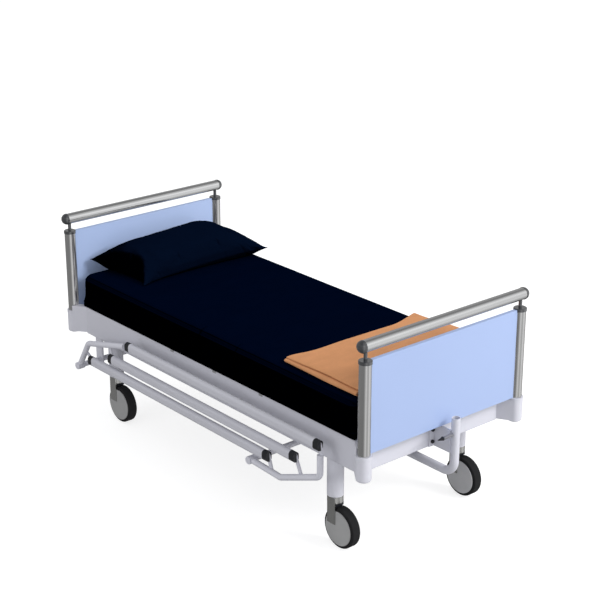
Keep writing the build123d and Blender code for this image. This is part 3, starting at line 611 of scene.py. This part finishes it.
def box_lattice(xs, ys, zs):
    """Points and quads of a box's skin, with a station wherever xs, ys and zs have one."""
    index, points, faces = {}, [], []

    def at(i, j, k):
        if (i, j, k) not in index:
            index[i, j, k] = len(points)
            points.append((xs[i], ys[j], zs[k]))
        return index[i, j, k]

    nx, ny, nz = len(xs) - 1, len(ys) - 1, len(zs) - 1
    for i in range(nx):
        for j in range(ny):
            faces.append((at(i, j, nz), at(i + 1, j, nz), at(i + 1, j + 1, nz), at(i, j + 1, nz)))
            faces.append((at(i, j, 0), at(i, j + 1, 0), at(i + 1, j + 1, 0), at(i + 1, j, 0)))
    for j in range(ny):
        for k in range(nz):
            faces.append((at(nx, j, k), at(nx, j + 1, k), at(nx, j + 1, k + 1), at(nx, j, k + 1)))
            faces.append((at(0, j, k), at(0, j, k + 1), at(0, j + 1, k + 1), at(0, j + 1, k)))
    for i in range(nx):
        for k in range(nz):
            faces.append((at(i, 0, k), at(i + 1, 0, k), at(i + 1, 0, k + 1), at(i, 0, k + 1)))
            faces.append((at(i, ny, k), at(i, ny, k + 1), at(i + 1, ny, k + 1), at(i + 1, ny, k)))
    return np.array(points), faces


def stations(a, b, step, dense_a=0.0, dense_b=0.0, fine=0.006):
    """Values from a to b, step apart, and finer for dense_a or dense_b at the ends."""
    values = []
    at = a
    while at < b - 1e-6:
        values.append(at)
        near = at < a + dense_a - 1e-6 or at >= b - dense_b - 1e-6
        at += fine if near else step
    if b - values[-1] < fine * 0.5 and len(values) > 1:
        values.pop()
    return values + [b]


# ---------------------------------------------------------------- mattress

FOOT_EDGE = 0.009       # rounding of the mattress's lower edges
PIPING = (0.058, -0.058)        # the two lines of piping, from the middle of the height
BEAD = 0.0022           # how far the piping stands out
BEAD_WIDTH = 0.0028
BED_STEP = 0.0125
PIPE_STEPS = (-0.006, -0.003, -0.0015, 0.0, 0.0015, 0.003, 0.006)
HOLLOW = 0.004          # how far the sides pull in near their edges
TOP_LIMIT = 0.004       # nothing stands higher over the crown than this
SEAT_SPLIT = 0.115      # where the lengths meet, from the thigh hinge
THIGH_SPLIT = 0.150


def tuck(x, y):
    """Soft creases in the sheet pulled over the mattress."""
    a = noise.noise(Vector((x * 3.1, y * 2.2, 0.3)))
    b = noise.noise(Vector((x * 9.0 + y * 3.0, y * 7.0 - x * 4.0, 1.7)))
    ridge = 1.0 - min(1.0, abs(b) * 5.0)
    return 0.0016 * a + 0.0020 * ridge * max(0.0, 0.35 + a)


def bed_point(p):
    """Moves a point of the plain box onto the mattress's rounded, piped and crowned skin."""
    low, high = np.array(BED_LOW), np.array(BED_HIGH)
    rise = min(1.0, max(0.0, (p[2] - low[2]) / (0.5 * (high[2] - low[2]))))
    round_by = FOOT_EDGE + (EDGE - FOOT_EDGE) * rise * rise * (3 - 2 * rise)
    core = np.clip(p, low + (round_by, round_by, FOOT_EDGE), high - (round_by, round_by, EDGE))
    out = p - core
    length = np.linalg.norm(out)
    if length > 1e-9:
        core = core + out / length * round_by
    x, y, z = core
    middle = (low[2] + high[2]) / 2
    height = (z - middle) / (high[2] - middle)
    side = min(1.0, max(0.0, (abs(x) - (high[0] - EDGE)) / EDGE))
    end = min(1.0, max(0.0, (y - (high[1] - EDGE)) / EDGE, (low[1] + EDGE - y) / EDGE))
    for line in (middle + drop for drop in PIPING):
        bead = BEAD * math.exp(-((z - line) / BEAD_WIDTH) ** 2)
        if side > 0:
            x += math.copysign(bead * side, x)
        if end > 0:
            y += math.copysign(bead * end, y)
    belly = HOLLOW * (1 - height ** 2) + 0.0015 * noise.noise(Vector((y * 4.0, z * 9.0, x)))
    if abs(p[0]) > high[0] - 1e-6 and abs(height) < 0.95:
        x -= math.copysign(HOLLOW - belly, x)
    if height > 0.55:
        z += (CROWN * (1 - (x / high[0]) ** 2) + tuck(x, y)) * (height - 0.55) / 0.45
    return x, y, min(z, high[2] + CROWN + TOP_LIMIT)


def mattress_piece(name, y0, y1, round0, round1):
    """A length of mattress, closed at both ends; round0 and round1 mark a rounded end."""
    middle = (BED_LOW.z + BED_HIGH.z) / 2
    xs = stations(BED_LOW.x, BED_HIGH.x, BED_STEP, EDGE, EDGE)
    ys = stations(y0, y1, BED_STEP, EDGE if round0 else 0.0, EDGE if round1 else 0.0)
    zs = set(stations(BED_LOW.z, BED_HIGH.z, 0.012, FOOT_EDGE, EDGE, 0.0045))
    for line in (middle + drop for drop in PIPING):
        zs = {z for z in zs if abs(z - line) > 0.007}
        zs |= {line + step for step in PIPE_STEPS}
    points, faces = box_lattice(xs, ys, sorted(zs))
    points = [bed_point(p) for p in points]
    piece = add_mesh(name, points, faces, "navy")
    for face in piece.data.polygons:
        ends = {round(piece.data.vertices[i].co.y, 5) for i in face.vertices}
        face.use_smooth = ends != {round(y0, 5)} and ends != {round(y1, 5)}
    piece.visible_glossy = False
    return piece


def make_mattress():
    """Three lengths of mattress, which meet where the deck doesn't bend."""
    seat_split, thigh_split = THIGH_Y + SEAT_SPLIT, THIGH_Y - THIGH_SPLIT
    back = mattress_piece("mattress_head_length", seat_split, BED_HIGH.y, False, True)
    middle = mattress_piece("mattress_middle_length", thigh_split, seat_split, False, False)
    foot = mattress_piece("mattress_foot_length", BED_LOW.y, thigh_split, True, False)
    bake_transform(back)
    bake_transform(middle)
    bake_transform(foot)
    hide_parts("mattress_back")
    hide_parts("mattress_seat", "mattress_thigh")
    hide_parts("mattress_calf")


# ---------------------------------------------------------------- pillow

PILLOW_CORNERS = {
    "front_left": Vector((-0.300, 0.683, 0.745)),
    "front_right": Vector((0.445, 0.668, 0.778)),
    "back_left": Vector((-0.364, 1.052, 0.796)),
    "back_right": Vector((0.335, 1.050, 0.835)),
}
PILLOW_HALF = (0.360, 0.190)
PILLOW_THICK = 0.175
PILLOW_CAP = 0.014      # how far the filling may push a point of the case
PILLOW_VOXEL = 0.006
PILLOW_PRESSURE = 4.0
REST_GAP = 0.0015       # between the pillow's underside and the mattress
GIVE = 0.012            # height over which the underside flattens
TIP_REACH = 0.030       # the corners' flat points
TIP_PULL = (0.034, 0.024)
EAR = ((0.66, -0.30), (0.80, -0.88))    # the crease that sets off the right end
RIDGE = ((-0.99, -0.99), (-0.80, -0.52), (-0.68, 0.10))     # where front and left end meet


def pillow_flat():
    """The stuffed case lying flat: full in the middle, pinched at its four corners."""
    n, m = 64, 40
    index, points, faces = {}, [], []
    for sheet in (1, -1):
        for i in range(n + 1):
            for j in range(m + 1):
                u, v = 2 * i / n - 1, 2 * j / m - 1
                rim = i in (0, n) or j in (0, m)
                if rim and sheet < 0:
                    index[sheet, i, j] = index[1, i, j]
                    continue
                pull_x = 1 - 0.055 * (1 - v * v) * abs(u) ** 3
                pull_y = 1 - 0.085 * (1 - u * u) * abs(v) ** 3
                fill = max(0.0, (1 - abs(u) ** 3.6) * (1 - abs(v) ** 2.8)) ** 0.46
                z = sheet * PILLOW_THICK / 2 * fill
                index[sheet, i, j] = len(points)
                points.append((u * PILLOW_HALF[0] * pull_x, v * PILLOW_HALF[1] * pull_y, z))
    for sheet in (1, -1):
        for i in range(n):
            for j in range(m):
                q = [index[sheet, i, j], index[sheet, i + 1, j],
                     index[sheet, i + 1, j + 1], index[sheet, i, j + 1]]
                faces.append(q if sheet > 0 else q[::-1])
    return points, faces


def modifier_result(obj):
    """Replaces an object's mesh by what its modifiers make of it."""
    made = bpy.data.meshes.new_from_object(
        obj.evaluated_get(bpy.context.evaluated_depsgraph_get()))
    obj.modifiers.clear()
    old = obj.data
    obj.data = made
    bpy.data.meshes.remove(old)


def inflate(obj, voxel, pressure, cap, frames=20):
    """Cloth under pressure, with each point held to within cap of where it began."""
    remesh = obj.modifiers.new("remesh", "REMESH")
    remesh.mode = "VOXEL"
    remesh.voxel_size = voxel
    modifier_result(obj)
    start = np.array([v.co for v in obj.data.vertices], float)
    cloth = obj.modifiers.new("cloth", "CLOTH")
    cloth.settings.use_pressure = True
    cloth.settings.uniform_pressure_force = pressure
    cloth.settings.effector_weights.gravity = 0.0
    cloth.settings.quality = 6
    cloth.settings.tension_stiffness = 14
    cloth.settings.compression_stiffness = 10
    cloth.settings.bending_stiffness = 0.35
    for f in range(1, frames + 1):
        scene.frame_set(f)
    modifier_result(obj)
    scene.frame_set(1)
    end = np.array([v.co for v in obj.data.vertices], float)
    step = end - start
    length = np.linalg.norm(step, axis=1, keepdims=True)
    end = start + step * np.minimum(1.0, cap / np.maximum(length, 1e-9))
    obj.data.vertices.foreach_set("co", end.astype(np.float32).ravel())


def seat_pillow(co):
    """Carries the flat pillow to its four corners, leaning on the headboard, flat below."""
    u = np.clip((co[:, 0] / PILLOW_HALF[0] + 1) / 2, -0.08, 1.08)
    v = np.clip((co[:, 1] / PILLOW_HALF[1] + 1) / 2, -0.08, 1.08)
    corner = {k: np.array(c) for k, c in PILLOW_CORNERS.items()}
    near = np.outer(1 - u, corner["front_left"]) + np.outer(u, corner["front_right"])
    far = np.outer(1 - u, corner["back_left"]) + np.outer(u, corner["back_right"])
    base = near * (1 - v)[:, None] + far * v[:, None]
    across = (corner["back_left"] + corner["back_right"]
              - corner["front_left"] - corner["front_right"])
    along = corner["front_right"] - corner["front_left"]
    up = np.cross(along, across)
    up /= np.linalg.norm(up)
    placed = base + np.outer(co[:, 2], up)
    floor = np.array([bed_top(x) for x in placed[:, 0]]) + REST_GAP
    under = placed[:, 2] < floor + GIVE
    depth = floor + GIVE - placed[:, 2]
    pressed = floor + GIVE * np.exp(-np.maximum(depth, 0) / GIVE)
    placed[:, 2] = np.where(under, pressed, placed[:, 2])
    return placed


def pointed(co):
    """Draws the four corners out into flat points again, which the filling had rounded."""
    out = co.copy()
    u, v = co[:, 0] / PILLOW_HALF[0], co[:, 1] / PILLOW_HALF[1]
    gone = np.hypot((1.0 - np.abs(u)) * PILLOW_HALF[0], (1.0 - np.abs(v)) * PILLOW_HALF[1])
    near = np.exp(-np.clip(gone, 0, None) / TIP_REACH)
    out[:, 0] += np.sign(u) * TIP_PULL[0] * near
    out[:, 1] += np.sign(v) * TIP_PULL[1] * near
    out[:, 2] *= 1 - np.clip(1.15 * near, 0, 0.93)
    return out


def line_gap(u, v, a, b):
    """Distance from a point of the flat pillow to a line drawn on it, and how far along."""
    run = (b[0] - a[0], b[1] - a[1])
    along = ((u - a[0]) * run[0] + (v - a[1]) * run[1]) / (run[0] ** 2 + run[1] ** 2)
    along = min(1.0, max(0.0, along))
    return math.hypot((u - a[0] - along * run[0]) * PILLOW_HALF[0],
                      (v - a[1] - along * run[1]) * PILLOW_HALF[1]), along


def pillow_creases(co, placed):
    """Gathers that run in from the seams and the corners, a crease and a ridge."""
    out = placed.copy()
    for i, (x, y, z) in enumerate(co):
        u, v = x / PILLOW_HALF[0], y / PILLOW_HALF[1]
        rim = max(abs(u), abs(v))
        corner = min(1.0, (abs(u) * abs(v)) ** 1.5)
        wave = noise.noise(Vector((u * 9.0, v * 3.0, 2.0 + z * 4)))
        fan = math.sin(14.0 * math.atan2(abs(v) - 0.75, abs(u) - 0.8) + 3.0 * wave)
        size = 0.0035 * wave * rim + 0.0040 * corner * fan * (1 - rim ** 6)
        gap, _ = line_gap(u, v, *EAR)
        size -= 0.010 * math.exp(-(gap / 0.011) ** 2)
        lower, along = line_gap(u, v, RIDGE[0], RIDGE[1])
        upper, above = line_gap(u, v, RIDGE[1], RIDGE[2])
        if lower < upper:
            size += 0.013 * along ** 0.5 * math.exp(-(lower / 0.020) ** 2)
        else:
            size += 0.013 * (1 - above) * math.exp(-(upper / 0.022) ** 2)
        out[i, 2] += size if z > 0 else 0.0
    return out


def make_pillow():
    """A stuffed case, swollen by cloth simulation and laid against the headboard."""
    points, faces = pillow_flat()
    pillow = add_mesh("pillow_case", points, faces, "slip")
    inflate(pillow, PILLOW_VOXEL, PILLOW_PRESSURE, PILLOW_CAP)
    pillow.data.materials.clear()
    pillow.data.materials.append(LOOKS["slip"])
    co = pointed(np.array([v.co for v in pillow.data.vertices], float))
    placed = pillow_creases(co, seat_pillow(co))
    pillow.data.vertices.foreach_set("co", placed.astype(np.float32).ravel())
    for p in pillow.data.polygons:
        p.use_smooth = True
    smooth = pillow.modifiers.new("subdivision", "SUBSURF")
    smooth.levels = smooth.render_levels = 1
    pillow.visible_glossy = False
    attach(pillow, "backrest")
    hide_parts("pillow")


# ---------------------------------------------------------------- blanket

BLANKET_X = (-0.392, 0.424)
BLANKET_Y = (-0.953, -0.512)
LAYER = 0.0062          # one thickness of the wool
NOSE = 0.010            # the top layer's rounded left edge
TOP_INSET = 0.004
ACROSS_STEPS = 54
DEPTH_STEPS = 34
TURN_STEPS = 6          # in each half turn of a fold


def fold_path(length, passes, pitch, steps):
    """A strip folded to and fro: points (along, up) and the direction of its upper side."""
    points = []
    for k in range(passes):
        up = -k * pitch
        to_left = k % 2 == 1
        for i in range(steps + 1):
            t = i / steps
            along = length * (1 - t) if to_left else length * t
            points.append((along, up, 0.0, 1.0 if to_left else -1.0))
        if k < passes - 1:
            side = 0.0 if to_left else length
            turn = -1 if to_left else 1
            for i in range(1, TURN_STEPS):
                a = math.pi * i / TURN_STEPS
                bulge = math.sin(a) * pitch / 2
                rise = math.cos(a) * pitch / 2
                sign = 1.0 if to_left else -1.0
                points.append((side + turn * bulge, up - pitch / 2 + rise,
                               turn * math.sin(a), sign * math.cos(a)))
    return points


def half_fold(depth):
    """The sheet's other fold: points (back, lift), with the bend at the head side."""
    points = []
    for i in range(DEPTH_STEPS + 1):
        points.append((i / DEPTH_STEPS * depth, LAYER / 2))
    for i in range(1, TURN_STEPS):
        a = math.pi * i / TURN_STEPS
        points.append((depth + math.sin(a) * LAYER / 2, math.cos(a) * LAYER / 2))
    for i in range(DEPTH_STEPS, -1, -1):
        points.append((i / DEPTH_STEPS * depth, -LAYER / 2))
    return points


def make_blanket():
    """One sheet folded in half towards the foot, then in three across the bed."""
    width, depth = BLANKET_X[1] - BLANKET_X[0], BLANKET_Y[1] - BLANKET_Y[0]
    across = fold_path(width, 3, 2 * LAYER, ACROSS_STEPS)
    bend = half_fold(depth)
    points, faces = [], []
    top = 5.5 * LAYER
    for along, up, nx, nz in across:
        topmost = up > -0.5 * LAYER
        pinch = math.sqrt(1 - max(0.0, 1 - along / NOSE) ** 2) if topmost else 1.0
        for back, lift in bend:
            lift *= max(0.35, pinch)
            x = BLANKET_X[0] + along + nx * lift + TOP_INSET * topmost
            y = BLANKET_Y[0] + back
            z = top - LAYER / 2 + up + nz * lift
            points.append(settle(x, y, z, top))
    rows, columns = len(across), len(bend)
    for i in range(rows - 1):
        for j in range(columns - 1):
            a = i * columns + j
            faces.append((a, a + columns, a + columns + 1, a + 1))
    blanket = add_mesh("folded_blanket", points, faces, "wool")
    solid = blanket.modifiers.new("thickness", "SOLIDIFY")
    solid.thickness = LAYER * 0.72
    solid.offset = 0.0
    smooth = blanket.modifiers.new("subdivision", "SUBSURF")
    smooth.levels = smooth.render_levels = 1
    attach(blanket, "calf_section")
    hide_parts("blanket")


def settle(x, y, z, top):
    """Lays a point of the stack on the mattress: thinner at its head side, corners drawn out."""
    share = (x - BLANKET_X[0]) / (BLANKET_X[1] - BLANKET_X[0])
    toward_head = min(1.0, max(0.0, (y - BLANKET_Y[0]) / (BLANKET_Y[1] - BLANKET_Y[0])))
    height = z / top
    wave = noise.noise(Vector((x * 5.0, 0.5, height * 0.6)))
    flare = 0.052 * max(0.0, share - 0.74) ** 1.5 / 0.26 ** 1.5
    corner = 0.026 * math.exp(-(share / 0.13) ** 2)
    y += (0.005 * wave + flare + corner) * toward_head ** 3
    sway = noise.noise(Vector((3.0, y * 6.0, height * 1.2)))
    x += 0.004 * sway * (1 - share) + 0.010 * toward_head ** 2 * (1 - share) ** 4
    puff = 0.0018 * noise.noise(Vector((x * 6.0, y * 6.0, 4.0))) * height
    ease = max(0.0, toward_head - 0.45) / 0.55
    thin = (1 - 0.40 * ease * ease * (3 - 2 * ease)) * (1 - 0.16 * math.exp(-share / 0.02) * height)
    return x, y, bed_top(x) + 0.0045 + z * thin + puff


# ---------------------------------------------------------------- build

make_camera()
make_world()
make_floor()
make_lights()
paint_frame()
paint_boards()
paint_bars()
paint_casters()
make_mattress()
make_pillow()
make_blanket()
